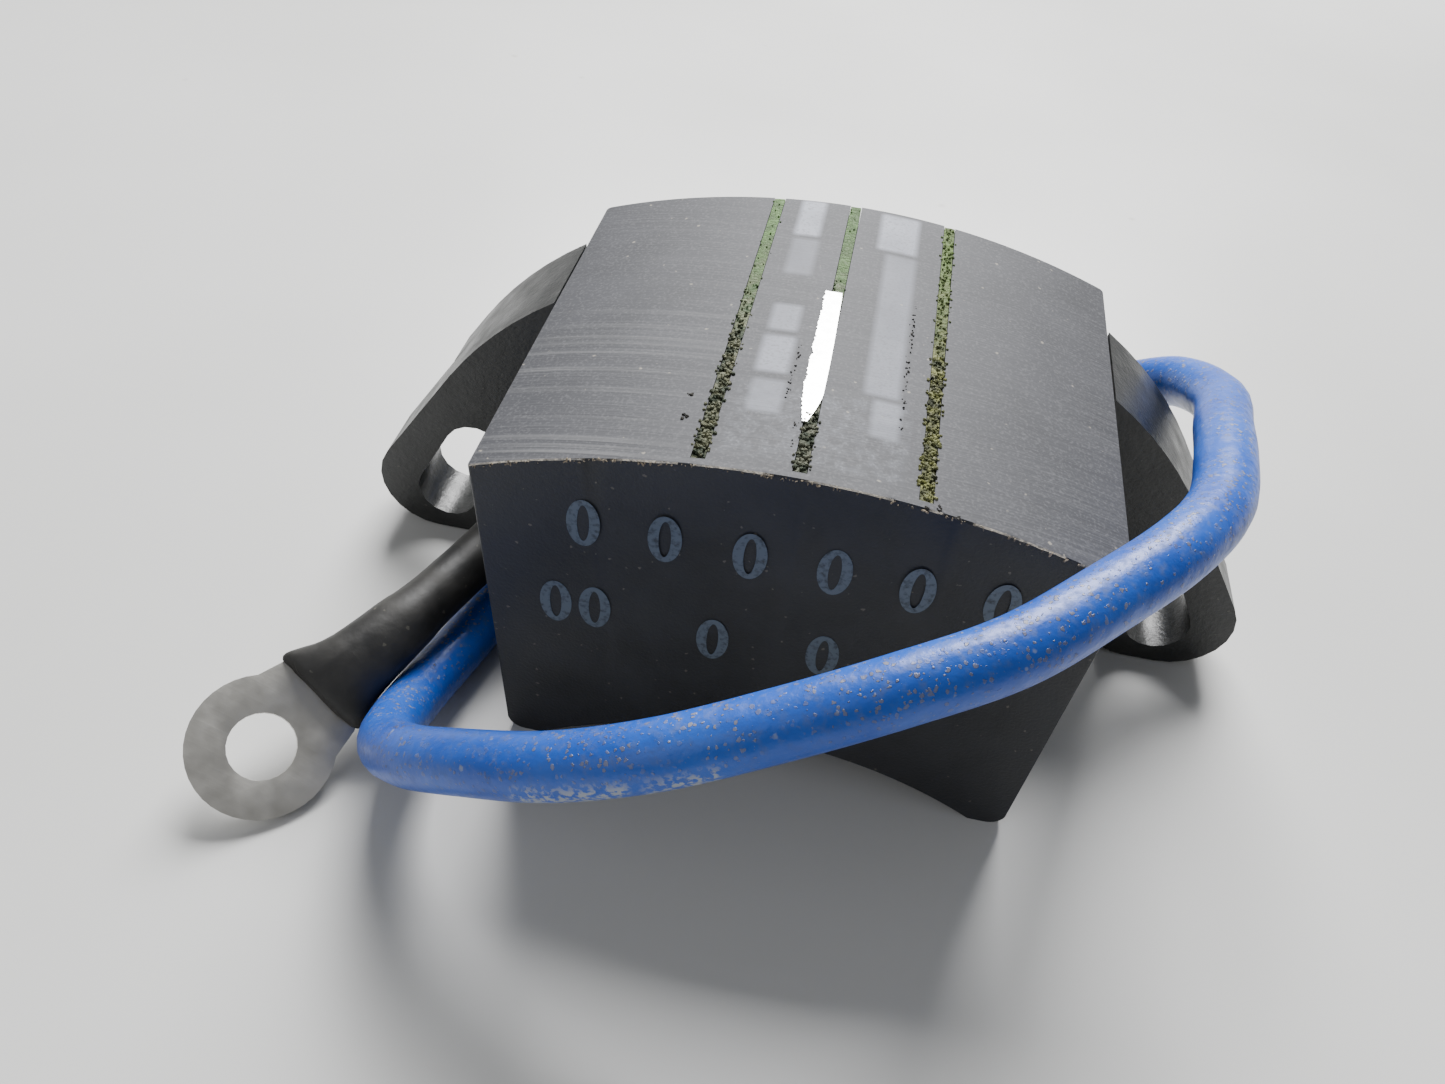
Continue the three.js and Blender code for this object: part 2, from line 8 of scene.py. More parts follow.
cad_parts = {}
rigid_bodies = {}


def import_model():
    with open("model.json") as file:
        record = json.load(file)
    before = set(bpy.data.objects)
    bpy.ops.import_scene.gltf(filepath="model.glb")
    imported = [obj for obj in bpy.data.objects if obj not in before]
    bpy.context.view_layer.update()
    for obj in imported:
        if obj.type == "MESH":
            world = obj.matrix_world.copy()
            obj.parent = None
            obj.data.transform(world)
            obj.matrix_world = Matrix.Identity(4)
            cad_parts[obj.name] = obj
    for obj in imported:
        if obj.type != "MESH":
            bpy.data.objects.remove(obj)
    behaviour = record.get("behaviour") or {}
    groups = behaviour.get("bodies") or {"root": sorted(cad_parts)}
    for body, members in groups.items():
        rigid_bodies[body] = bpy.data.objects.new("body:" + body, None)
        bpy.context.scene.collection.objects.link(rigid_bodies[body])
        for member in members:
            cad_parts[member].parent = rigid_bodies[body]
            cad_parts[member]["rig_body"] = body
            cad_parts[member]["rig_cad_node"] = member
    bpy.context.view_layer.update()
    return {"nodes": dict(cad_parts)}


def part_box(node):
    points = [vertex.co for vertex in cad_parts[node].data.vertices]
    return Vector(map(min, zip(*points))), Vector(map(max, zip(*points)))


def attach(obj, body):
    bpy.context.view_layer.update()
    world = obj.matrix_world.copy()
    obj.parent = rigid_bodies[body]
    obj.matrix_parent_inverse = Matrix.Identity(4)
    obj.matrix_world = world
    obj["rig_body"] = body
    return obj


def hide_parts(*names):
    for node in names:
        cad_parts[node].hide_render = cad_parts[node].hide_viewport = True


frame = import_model()


# The table under the coil: a pale, faintly glossy laminate top, soiled here and there.
# It is the stage and isn't part of the coil.
def deselect_all():
    bpy.ops.object.select_all(action="DESELECT")


def add_node(tree, kind, values=None, **settings):
    node = tree.nodes.new(kind)
    for name, setting in settings.items():
        setattr(node, name, setting)
    for name, value in (values or {}).items():
        if isinstance(value, bpy.types.NodeSocket):
            tree.links.new(value, node.inputs[name])
        else:
            node.inputs[name].default_value = value
    return node


def new_material(name, roughness, metallic=0.0):
    material = bpy.data.materials.new(name)
    material.use_nodes = True
    shader = material.node_tree.nodes["Principled BSDF"]
    shader.inputs["Roughness"].default_value = roughness
    shader.inputs["Metallic"].default_value = metallic
    return material, material.node_tree, shader


def object_place(tree):
    return add_node(tree, "ShaderNodeTexCoord").outputs["Object"]


def mix_colour(tree, factor, first, second):
    mix = add_node(tree, "ShaderNodeMix", data_type="RGBA")
    for socket, value in ((mix.inputs[0], factor), (mix.inputs[6], first), (mix.inputs[7], second)):
        if isinstance(value, bpy.types.NodeSocket):
            tree.links.new(value, socket)
        else:
            socket.default_value = value if socket == mix.inputs[0] else (*value, 1.0)
    return mix.outputs[2]


def spread(tree, value, low, high):
    values = {"Value": value, "To Min": low, "To Max": high}
    return add_node(tree, "ShaderNodeMapRange", values).outputs["Result"]


def combine(tree, operation, first, second):
    math_node = add_node(tree, "ShaderNodeMath", {0: first, 1: second}, operation=operation)
    math_node.use_clamp = True
    return math_node.outputs[0]


def raise_surface(tree, shader, height, distance, strength=1.0):
    values = {"Height": height, "Distance": distance, "Strength": strength}
    bump = add_node(tree, "ShaderNodeBump", values)
    tree.links.new(bump.outputs["Normal"], shader.inputs["Normal"])


def new_group(name, inputs, outputs):
    group = bpy.data.node_groups.new(name, "ShaderNodeTree")
    for socket_name, kind in inputs.items():
        group.interface.new_socket(socket_name, in_out="INPUT", socket_type=kind)
    for socket_name in outputs:
        group.interface.new_socket(socket_name, in_out="OUTPUT", socket_type="NodeSocketFloat")
    return group, group.nodes.new("NodeGroupInput").outputs, group.nodes.new("NodeGroupOutput").inputs


def use_group(tree, group, values, output="Mask"):
    node = tree.nodes.new("ShaderNodeGroup")
    node.node_tree = group
    for name, value in values.items():
        if isinstance(value, bpy.types.NodeSocket):
            tree.links.new(value, node.inputs[name])
        else:
            node.inputs[name].default_value = value
    return node.outputs[output]


FLOAT = "NodeSocketFloat"
VECTOR = "NodeSocketVector"

# Cloudy variation: fractal noise, spread between two levels.
cloud, given, result = new_group(
    "cloud", {"Vector": VECTOR, "Scale": FLOAT, "Low": FLOAT, "High": FLOAT}, ["Mask"])
texture = add_node(cloud, "ShaderNodeTexNoise",
                   {"Vector": given["Vector"], "Scale": given["Scale"], "Detail": 5.0})
level = add_node(cloud, "ShaderNodeMapRange",
                 {"Value": texture.outputs["Fac"], "From Min": given["Low"], "From Max": given["High"]})
cloud.links.new(level.outputs["Result"], result["Mask"])

# Specks: small round flecks, one in each cell, of which only some are big enough to show.
specks, given, result = new_group("specks", {"Vector": VECTOR, "Scale": FLOAT, "Size": FLOAT}, ["Mask"])
wobble = add_node(specks, "ShaderNodeTexNoise", {"Vector": given["Vector"], "Scale": 2600.0})
shift = add_node(specks, "ShaderNodeVectorMath", {0: wobble.outputs["Color"]}, operation="SCALE")
shift.inputs["Scale"].default_value = 0.0004
moved = add_node(specks, "ShaderNodeVectorMath", {0: given["Vector"], 1: shift.outputs[0]}, operation="ADD")
cells = add_node(specks, "ShaderNodeTexVoronoi", {"Vector": moved.outputs[0], "Scale": given["Scale"]})
share = add_node(specks, "ShaderNodeSeparateColor", {"Color": cells.outputs["Color"]})
reach = add_node(specks, "ShaderNodeMath", {0: share.outputs["Red"], 1: given["Size"]}, operation="MULTIPLY")
inside = add_node(specks, "ShaderNodeMath", {0: reach.outputs[0], 1: cells.outputs["Distance"]},
                  operation="SUBTRACT")
edge = add_node(specks, "ShaderNodeMapRange", {"Value": inside.outputs[0], "From Min": 0.0, "From Max": 0.06})
specks.links.new(edge.outputs["Result"], result["Mask"])

# Scratches: noise drawn out along X, with a slow drift so that the lines bow a little.
scratches, given, result = new_group(
    "scratches", {"Vector": VECTOR, "Across": FLOAT, "Low": FLOAT, "High": FLOAT}, ["Mask"])
drift = add_node(scratches, "ShaderNodeTexNoise", {"Vector": given["Vector"], "Scale": 17.0, "Detail": 0.0})
bow = add_node(scratches, "ShaderNodeVectorMath", {0: drift.outputs["Color"]}, operation="SCALE")
bow.inputs["Scale"].default_value = 0.010
bowed = add_node(scratches, "ShaderNodeVectorMath", {0: given["Vector"], 1: bow.outputs[0]}, operation="ADD")
drawn = add_node(scratches, "ShaderNodeVectorMath", {0: bowed.outputs[0], 1: (0.006, 1.0, 0.0)},
                 operation="MULTIPLY")
away = add_node(scratches, "ShaderNodeVectorMath", {0: drawn.outputs[0], 1: (0.0003, 0.03, 0.0)},
                operation="ADD")
lines = add_node(scratches, "ShaderNodeTexNoise",
                 {"Vector": away.outputs[0], "Scale": given["Across"], "Detail": 2.0})
level = add_node(scratches, "ShaderNodeMapRange",
                 {"Value": lines.outputs["Fac"], "From Min": given["Low"], "From Max": given["High"]})
scratches.links.new(level.outputs["Result"], result["Mask"])

deselect_all()
bpy.ops.mesh.primitive_plane_add(size=4.0)
table = bpy.context.object
table.name = "table"
laminate, tree, shader = new_material("pale_laminate", 0.32)
place = object_place(tree)
haze = use_group(tree, cloud, {"Vector": place, "Scale": 9.0, "Low": 0.3, "High": 0.7})
tone = mix_colour(tree, haze, (0.60, 0.60, 0.585), (0.66, 0.66, 0.65))
dirt = use_group(tree, specks, {"Vector": place, "Scale": 60.0, "Size": 0.07})
tone = mix_colour(tree, combine(tree, "MULTIPLY", dirt, 0.5), tone, (0.25, 0.22, 0.18))
tree.links.new(tone, shader.inputs["Base Color"])
tree.links.new(spread(tree, haze, 0.27, 0.38), shader.inputs["Roughness"])
table.data.materials.append(laminate)


# The moulded case is a block of black thermoset, open below, whose top is ground to a cylinder to
# clear the flywheel. The mould left its faces dull and the grinding left a torn front edge.
TOP_RADIUS = 0.0714
CROWN_Z = 0.03602
TOP_AXIS_Z = CROWN_Z - TOP_RADIUS
BLANK_HEIGHT = 0.038
FOOT_HALF = 0.0232
BLANK_HALF = 0.02537
ARCH_RISE = 0.0058
ARCH_RADIUS = 0.03773
DEPTH = 0.042
FRONT_Y = -DEPTH / 2
FOOT_ROUND = 0.0016
TOP_WALL = 0.0032
SIDE_WALL = 0.003
END_WALL = 0.0022
STRIP_X = {"left": -0.00765, "middle": -0.0002, "right": 0.00905}
STRIP_HALF = 0.0005
STRIP_FRONT_Y = -0.020
STRIP_FLOOR_Z = 0.0298
EDGE_BAND = 0.00028
CHIPS = [(0.0079, 0.0011, 0.55), (-0.0010, 0.0016, 0.35), (0.0122, 0.0009, 0.25), (-0.0140, 0.0010, 0.2)]
SMOOTH_ANGLE = math.radians(32)


def top_z(x):
    return TOP_AXIS_Z + math.sqrt(TOP_RADIUS ** 2 - x ** 2)


def add_box(name, low, high):
    deselect_all()
    middle = (Vector(low) + Vector(high)) / 2
    bpy.ops.mesh.primitive_cube_add(size=1.0, location=middle, scale=Vector(high) - Vector(low))
    bpy.ops.object.transform_apply(location=True, rotation=True, scale=True)
    bpy.context.object.name = name
    return bpy.context.object


def add_roller(name, radius, axis_z, vertices):
    deselect_all()
    bpy.ops.mesh.primitive_cylinder_add(
        vertices=vertices, radius=radius, depth=0.07, location=(0, 0, axis_z),
        rotation=(math.radians(90), 0, 0))
    bpy.ops.object.transform_apply(location=True, rotation=True, scale=True)
    bpy.context.object.name = name
    return bpy.context.object


def cut(target, tool, operation="DIFFERENCE"):
    modifier = target.modifiers.new("cut", "BOOLEAN")
    modifier.operation = operation
    modifier.solver = "EXACT"
    modifier.object = tool
    deselect_all()
    bpy.context.view_layer.objects.active = target
    bpy.ops.object.modifier_apply(modifier=modifier.name)
    bpy.data.objects.remove(tool)


def taper_below(blank, factor):
    for vertex in blank.data.vertices:
        if vertex.co.z < BLANK_HEIGHT / 2:
            vertex.co.x *= factor


def select_edges(piece, wanted):
    bpy.context.view_layer.objects.active = piece
    piece.select_set(True)
    bpy.ops.object.mode_set(mode="EDIT")
    bpy.ops.mesh.select_mode(type="EDGE")
    bpy.ops.mesh.select_all(action="DESELECT")
    bpy.ops.object.mode_set(mode="OBJECT")
    for edge in piece.data.edges:
        ends = [piece.data.vertices[i].co for i in edge.vertices]
        edge.select = wanted(*ends)
    bpy.ops.object.mode_set(mode="EDIT")


def shade_smooth(piece):
    deselect_all()
    piece.select_set(True)
    bpy.context.view_layer.objects.active = piece
    bpy.ops.object.shade_smooth_by_angle(angle=SMOOTH_ANGLE)


MOULD_ROUND = 0.0004
CORE_LOW, CORE_HIGH = Vector((-0.027, 0.0029, 0.0159)), Vector((0.027, 0.01414, 0.0304))
STRIP_CLEAR = 0.00005
case = add_box("case_shell", (-BLANK_HALF, FRONT_Y, 0), (BLANK_HALF, -FRONT_Y, BLANK_HEIGHT))
taper_below(case, FOOT_HALF / BLANK_HALF)
select_edges(case, lambda a, b: a.z < 1e-4 and b.z < 1e-4 and abs(a.y - b.y) > 0.01)
bpy.ops.mesh.bevel(offset=FOOT_ROUND, segments=8)
bpy.ops.object.mode_set(mode="OBJECT")
select_edges(case, lambda a, b: abs(a.z - b.z) > 0.02 and abs(a.y - b.y) < 1e-4)
bpy.ops.mesh.bevel(offset=MOULD_ROUND, segments=3)
bpy.ops.object.mode_set(mode="OBJECT")
cut(case, add_roller("flywheel_grind", TOP_RADIUS, TOP_AXIS_Z, 1600), "INTERSECT")
cut(case, add_roller("arch", ARCH_RADIUS, ARCH_RISE - ARCH_RADIUS, 400))
hollow = add_box("hollow", (-BLANK_HALF + SIDE_WALL, FRONT_Y + END_WALL, -0.001),
                 (BLANK_HALF - SIDE_WALL, -FRONT_Y - END_WALL, BLANK_HEIGHT))
taper_below(hollow, (FOOT_HALF - SIDE_WALL) / (BLANK_HALF - SIDE_WALL))
cut(hollow, add_roller("roof", TOP_RADIUS - TOP_WALL, TOP_AXIS_Z, 160), "INTERSECT")
cut(case, hollow)
cut(case, add_box("core_way", CORE_LOW, CORE_HIGH))
for strip_x in STRIP_X.values():
    half = STRIP_HALF + STRIP_CLEAR
    cut(case, add_box("strip_way", (strip_x - half, STRIP_FRONT_Y - STRIP_CLEAR, STRIP_FLOOR_Z - 0.0001),
                      (strip_x + half, 0.022, BLANK_HEIGHT)))
EXIT = Vector((-0.02345, -0.0029, 0.0039))
EXIT_WAY = Vector((-0.6, -0.79, -0.1)).normalized()
EXIT_RADIUS, EXIT_DEPTH = 0.0016, 0.014
deselect_all()
bpy.ops.mesh.primitive_cylinder_add(
    vertices=32, radius=EXIT_RADIUS, depth=EXIT_DEPTH, location=EXIT,
    rotation=EXIT_WAY.to_track_quat("Z", "Y").to_euler())
cut(case, bpy.context.object)

select_edges(case, lambda a, b: False)
for band in (EDGE_BAND, 2 * EDGE_BAND):
    bpy.ops.mesh.select_all(action="SELECT")
    bpy.ops.mesh.bisect(plane_co=(0, FRONT_Y + band, 0), plane_no=(0, 1, 0))
bpy.ops.object.mode_set(mode="OBJECT")
for vertex in case.data.vertices:
    on_edge = vertex.co.y < FRONT_Y + 1e-5 and abs(vertex.co.z - top_z(vertex.co.x)) < 1e-4
    if on_edge:
        fine = noise.noise(Vector((vertex.co.x * 1900, 0.0, 0.0)))
        coarse = noise.noise(Vector((vertex.co.x * 420, 7.0, 0.0)))
        chip = max(0.0, coarse - 0.25)
        for chip_x, spread_x, depth in CHIPS:
            chip += depth * math.exp(-((vertex.co.x - chip_x) / spread_x) ** 2)
        vertex.co.z += 0.00005 * fine - 0.0007 * chip
        vertex.co.y += 0.00005 + 0.00006 * coarse + 0.0005 * chip
shade_smooth(case)

PALE_PATCHES = [
    (-0.0042, 0.0175, 0.00115, 0.0034, 0.85), (-0.0041, 0.0102, 0.0012, 0.0032, 0.30),
    (-0.0041, -0.0002, 0.0012, 0.0020, 0.55), (-0.0041, -0.0057, 0.0013, 0.0026, 0.60),
    (-0.0040, -0.0115, 0.0013, 0.0021, 0.45), (0.0043, 0.0171, 0.0018, 0.0034, 0.90),
    (0.0048, 0.0020, 0.0014, 0.0110, 0.45), (0.0054, -0.0119, 0.0011, 0.0023, 0.45),
]
SOFT_EDGE = 0.0003
rectangle, given, result = new_group(
    "rectangle", {"Vector": VECTOR, "Middle": VECTOR, "Half X": FLOAT, "Half Y": FLOAT}, ["Mask"])
offset = add_node(rectangle, "ShaderNodeVectorMath", {0: given["Vector"], 1: given["Middle"]},
                  operation="SUBTRACT")
distance = add_node(rectangle, "ShaderNodeVectorMath", {0: offset.outputs[0]}, operation="ABSOLUTE")
apart = add_node(rectangle, "ShaderNodeSeparateXYZ", {"Vector": distance.outputs[0]})
sides = []
for axis, half in (("X", "Half X"), ("Y", "Half Y")):
    margin = add_node(rectangle, "ShaderNodeMath", {0: given[half], 1: apart.outputs[axis]},
                      operation="SUBTRACT")
    sides.append(add_node(rectangle, "ShaderNodeMapRange", {
        "Value": margin.outputs[0], "From Min": -SOFT_EDGE, "From Max": SOFT_EDGE}).outputs["Result"])
both = add_node(rectangle, "ShaderNodeMath", {0: sides[0], 1: sides[1]}, operation="MULTIPLY")
rectangle.links.new(both.outputs[0], result["Mask"])

moulded, tree, shader = new_material("moulded_black", 0.55)
place = object_place(tree)
mottle = use_group(tree, cloud, {"Vector": place, "Scale": 260.0, "Low": 0.3, "High": 0.7})
tone = mix_colour(tree, mottle, (0.011, 0.012, 0.015), (0.022, 0.024, 0.029))
haze = use_group(tree, cloud, {"Vector": place, "Scale": 55.0, "Low": 0.48, "High": 0.72})
tone = mix_colour(tree, combine(tree, "MULTIPLY", haze, 0.5), tone, (0.042, 0.043, 0.047))
grit = use_group(tree, specks, {"Vector": place, "Scale": 900.0, "Size": 0.16})
tone = mix_colour(tree, combine(tree, "MULTIPLY", grit, 0.55), tone, (0.16, 0.145, 0.12))
tree.links.new(tone, shader.inputs["Base Color"])
tree.links.new(spread(tree, mottle, 0.48, 0.62), shader.inputs["Roughness"])
grain = use_group(tree, cloud, {"Vector": place, "Scale": 3800.0, "Low": 0.2, "High": 0.8})
raise_surface(tree, shader, grain, 0.00003)

ground, tree, shader = new_material("ground_top", 0.45)
place = object_place(tree)
across = add_node(tree, "ShaderNodeSeparateXYZ", {"Vector": place})
mottle = use_group(tree, cloud, {"Vector": place, "Scale": 150.0, "Low": 0.32, "High": 0.68})
sparkle = use_group(tree, cloud, {"Vector": place, "Scale": 3800.0, "Low": 0.50, "High": 0.70})
runs = use_group(tree, cloud, {"Vector": place, "Scale": 95.0, "Low": 0.40, "High": 0.60})
coarse_lines = use_group(tree, scratches, {"Vector": place, "Across": 1500.0, "Low": 0.50, "High": 0.68})
fine_lines = use_group(tree, scratches, {"Vector": place, "Across": 5200.0, "Low": 0.45, "High": 0.75})
left_side = add_node(tree, "ShaderNodeMapRange", {
    "Value": across.outputs["X"], "From Min": -0.002, "From Max": -0.014}).outputs["Result"]
front_side = add_node(tree, "ShaderNodeMapRange", {
    "Value": across.outputs["Y"], "From Min": 0.006, "From Max": -0.012}).outputs["Result"]
worked = combine(tree, "ADD", combine(tree, "MULTIPLY", left_side, front_side), 0.12)
coarse_lines = combine(tree, "MULTIPLY", coarse_lines, worked)
coarse_lines = combine(tree, "MULTIPLY", coarse_lines, spread(tree, runs, 0.3, 1.0))
fine_lines = combine(tree, "MULTIPLY", fine_lines, spread(tree, runs, 0.5, 1.0))
dark_lines = use_group(tree, scratches, {"Vector": place, "Across": 900.0, "Low": 0.60, "High": 0.70})
tone = mix_colour(tree, mottle, (0.024, 0.025, 0.031), (0.037, 0.038, 0.046))
tone = mix_colour(tree, combine(tree, "MULTIPLY", fine_lines, 0.35), tone, (0.12, 0.12, 0.13))
tone = mix_colour(tree, combine(tree, "MULTIPLY", coarse_lines, 0.5), tone, (0.17, 0.17, 0.175))
tone = mix_colour(tree, combine(tree, "MULTIPLY", dark_lines, 0.45), tone, (0.022, 0.022, 0.028))
tone = mix_colour(tree, combine(tree, "MULTIPLY", sparkle, 0.34), tone, (0.16, 0.16, 0.17))
burnish = None
for middle_x, middle_y, half_x, half_y, strength in PALE_PATCHES:
    patch = use_group(tree, rectangle, {
        "Vector": place, "Middle": (middle_x, middle_y, 0.0), "Half X": half_x, "Half Y": half_y})
    patch = combine(tree, "MULTIPLY", patch, strength)
    burnish = patch if burnish is None else combine(tree, "ADD", burnish, patch)
burnish = combine(tree, "MULTIPLY", burnish, spread(tree, mottle, 0.65, 1.0))
burnish = combine(tree, "MULTIPLY", burnish, spread(tree, sparkle, 1.0, 0.5))
tone = mix_colour(tree, burnish, tone, (0.27, 0.29, 0.36))
scrubbed = use_group(tree, rectangle, {
    "Vector": place, "Middle": (0.0005, -0.0145, 0.0), "Half X": 0.0068, "Half Y": 0.0045})
powder = use_group(tree, cloud, {"Vector": place, "Scale": 1150.0, "Low": 0.40, "High": 0.74})
powder = combine(tree, "MULTIPLY", powder, spread(tree, sparkle, 0.25, 0.6))
powder = combine(tree, "MULTIPLY", powder, scrubbed)
tone = mix_colour(tree, powder, tone, (0.22, 0.235, 0.27))
grit = use_group(tree, specks, {"Vector": place, "Scale": 700.0, "Size": 0.13})
tone = mix_colour(tree, combine(tree, "MULTIPLY", grit, 0.6), tone, (0.36, 0.33, 0.27))
tree.links.new(tone, shader.inputs["Base Color"])
tree.links.new(spread(tree, burnish, 0.66, 0.48), shader.inputs["Roughness"])
deep, shallow = combine(tree, "MULTIPLY", coarse_lines, 0.6), combine(tree, "MULTIPLY", fine_lines, 0.3)
height = combine(tree, "ADD", deep, shallow)
raise_surface(tree, shader, height, 0.00004)

torn, tree, shader = new_material("torn_edge", 0.75)
place = object_place(tree)
blotch = use_group(tree, cloud, {"Vector": place, "Scale": 700.0, "Low": 0.38, "High": 0.62})
fibre = use_group(tree, cloud, {"Vector": place, "Scale": 2600.0, "Low": 0.45, "High": 0.65})
tone = mix_colour(tree, blotch, (0.035, 0.033, 0.032), (0.14, 0.125, 0.105))
tone = mix_colour(tree, combine(tree, "MULTIPLY", fibre, 0.6), tone, (0.30, 0.27, 0.22))
tree.links.new(tone, shader.inputs["Base Color"])
raise_surface(tree, shader, fibre, 0.00008)

case.data.materials.clear()
for material in (moulded, ground, torn):
    case.data.materials.append(material)
for face in case.data.polygons:
    if face.normal.z > 0.7 and abs(face.center.z - top_z(face.center.x)) < 4e-4:
        face.material_index = 2 if face.center.y < FRONT_Y + EDGE_BAND else 1
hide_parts("moulded_case")
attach(case, "root")


# Grit and torn crumbs of moulding: pale flecks along the front edge, dark crumbs on the top where
# the grinding opened the material beside the strips. They are bedded in the surface.
rng = random.Random(7)
deselect_all()
bpy.ops.mesh.primitive_ico_sphere_add(subdivisions=2, radius=1.0)
crumb = bpy.context.object
bpy.ops.object.mode_set(mode="EDIT")
bpy.ops.mesh.select_all(action="SELECT")
bpy.ops.transform.vertex_random(offset=0.35, seed=3)
bpy.ops.object.mode_set(mode="OBJECT")


def scatter(name, spots):
    copies = []
    for where, size in spots:
        copy = crumb.copy()
        copy.data = crumb.data.copy()
        turn = Euler([rng.uniform(0, math.tau) for _ in range(3)])
        copy.matrix_world = Matrix.LocRotScale(Vector(where), turn, Vector(size))
        bpy.context.collection.objects.link(copy)
        copies.append(copy)
    deselect_all()
    for copy in copies:
        copy.select_set(True)
    bpy.context.view_layer.objects.active = copies[0]
    bpy.ops.object.join()
    bpy.ops.object.transform_apply(location=True, rotation=True, scale=True)
    bpy.context.object.name = name
    return bpy.context.object


def plain_grit(name, dark, pale, scale, roughness=0.8):
    material, tree, shader = new_material(name, roughness)
    place = object_place(tree)
    blend = use_group(tree, cloud, {"Vector": place, "Scale": scale, "Low": 0.35, "High": 0.65})
    tree.links.new(mix_colour(tree, blend, dark, pale), shader.inputs["Base Color"])
    raise_surface(tree, shader, blend, 0.00005)
    return material


EDGE_FLECKS, EDGE_HALF = 150, 0.0245
edge_spots = []
for _ in range(EDGE_FLECKS):
    x = rng.uniform(-EDGE_HALF, EDGE_HALF)
    size = rng.uniform(0.00003, 0.00009)
    where = (x, FRONT_Y + rng.uniform(-0.00002, 0.00015), top_z(x) - rng.uniform(0.0, 0.00022))
    edge_spots.append((where, (size * rng.uniform(1, 3), size, size)))
edge_flecks = scatter("edge_flecks", edge_spots)
edge_flecks.data.materials.append(
    plain_grit("fleck_tan", (0.05, 0.045, 0.04), (0.36, 0.29, 0.20), 900.0))

CRUMB_LINES = [
    (0.0066, -0.0130, 0.0060, 60), (-0.0024, -0.0125, -0.0040, 26), (-0.0012, -0.0175, -0.0140, 10),
    (0.0101, -0.0209, -0.0200, 14), (0.0091, -0.0209, -0.0206, 10), (0.0115, -0.0209, -0.0206, 8),
]
CRUMB_HEAPS = [(-0.0098, -0.0124), (-0.0097, -0.0154)]
dark_spots = []
for line_x, start_y, end_y, count in CRUMB_LINES:
    for _ in range(count):
        x = line_x + rng.gauss(0, 0.00010)
        size = rng.uniform(0.00004, 0.00013)
        dark_spots.append(((x, rng.uniform(start_y, end_y), top_z(x)), (size, size, size * 0.5)))
for x, y in CRUMB_HEAPS:
    for _ in range(7):
        size = rng.uniform(0.00008, 0.00018)
        spot_x = x + rng.gauss(0, 0.00016)
        dark_spots.append(((spot_x, y + rng.gauss(0, 0.00014), top_z(spot_x)), (size, size, size * 0.6)))
dark_crumbs = scatter("dark_crumbs", dark_spots)
dark_crumbs.data.materials.append(
    plain_grit("crumb_dark", (0.008, 0.008, 0.007), (0.035, 0.032, 0.026), 1500.0))
for piece in (edge_flecks, dark_crumbs):
    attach(piece, "root")


# Marks on the front face: a pad-printed row of plain zeros and a shorter row below them, in a
# thin grey-blue ink that has worn patchy.
INK_THICK = 0.000012
ZERO_HALF_X, ZERO_HALF_Z = 0.00135, 0.0024
ZEROS = [(-0.01595, 0.0279), (-0.0095, 0.0278), (-0.00285, 0.0277), (0.0037, 0.0277), (0.0101, 0.0274),
         (0.0165, 0.0274), (-0.0183, 0.0185), (-0.0150, 0.0186), (-0.0050, 0.0175), (0.0041, 0.0181)]
deselect_all()
bpy.ops.mesh.primitive_circle_add(vertices=40, radius=1.0, rotation=(math.radians(90), 0, 0))
zero = bpy.context.object
bpy.ops.object.transform_apply(location=False, rotation=True, scale=False)
bpy.ops.object.mode_set(mode="EDIT")
bpy.ops.mesh.select_all(action="SELECT")
bpy.ops.mesh.extrude_edges_move()
bpy.ops.transform.resize(value=(0.36, 1.0, 0.78), center_override=(0, 0, 0))
bpy.ops.object.mode_set(mode="OBJECT")
marks = []
for x, z in ZEROS:
    mark = zero.copy()
    mark.data = zero.data.copy()
    mark.matrix_world = Matrix.LocRotScale(
        Vector((x, FRONT_Y - INK_THICK / 2, z)), None, Vector((ZERO_HALF_X, 1.0, ZERO_HALF_Z)))
    bpy.context.collection.objects.link(mark)
    marks.append(mark)
bpy.data.objects.remove(zero)
deselect_all()
for mark in marks:
    mark.select_set(True)
bpy.context.view_layer.objects.active = marks[0]
bpy.ops.object.join()
bpy.ops.object.transform_apply(location=True, rotation=True, scale=True)
stamp = bpy.context.object
stamp.name = "front_stamp"
bpy.ops.object.mode_set(mode="EDIT")
bpy.ops.mesh.select_all(action="SELECT")
bpy.ops.mesh.normals_make_consistent(inside=False)
bpy.ops.object.mode_set(mode="OBJECT")
wall = stamp.modifiers.new("wall", "SOLIDIFY")
wall.thickness = INK_THICK
wall.offset = 0.0
bpy.ops.object.modifier_apply(modifier="wall")
ink, tree, shader = new_material("stamp_ink", 0.6)
place = object_place(tree)
wear = use_group(tree, cloud, {"Vector": place, "Scale": 2600.0, "Low": 0.30, "High": 0.52})
tone = mix_colour(tree, wear, (0.040, 0.050, 0.064), (0.095, 0.125, 0.165))
tree.links.new(tone, shader.inputs["Base Color"])
raise_surface(tree, shader, wear, 0.00001)
stamp.data.materials.clear()
stamp.data.materials.append(ink)
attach(stamp, "root")


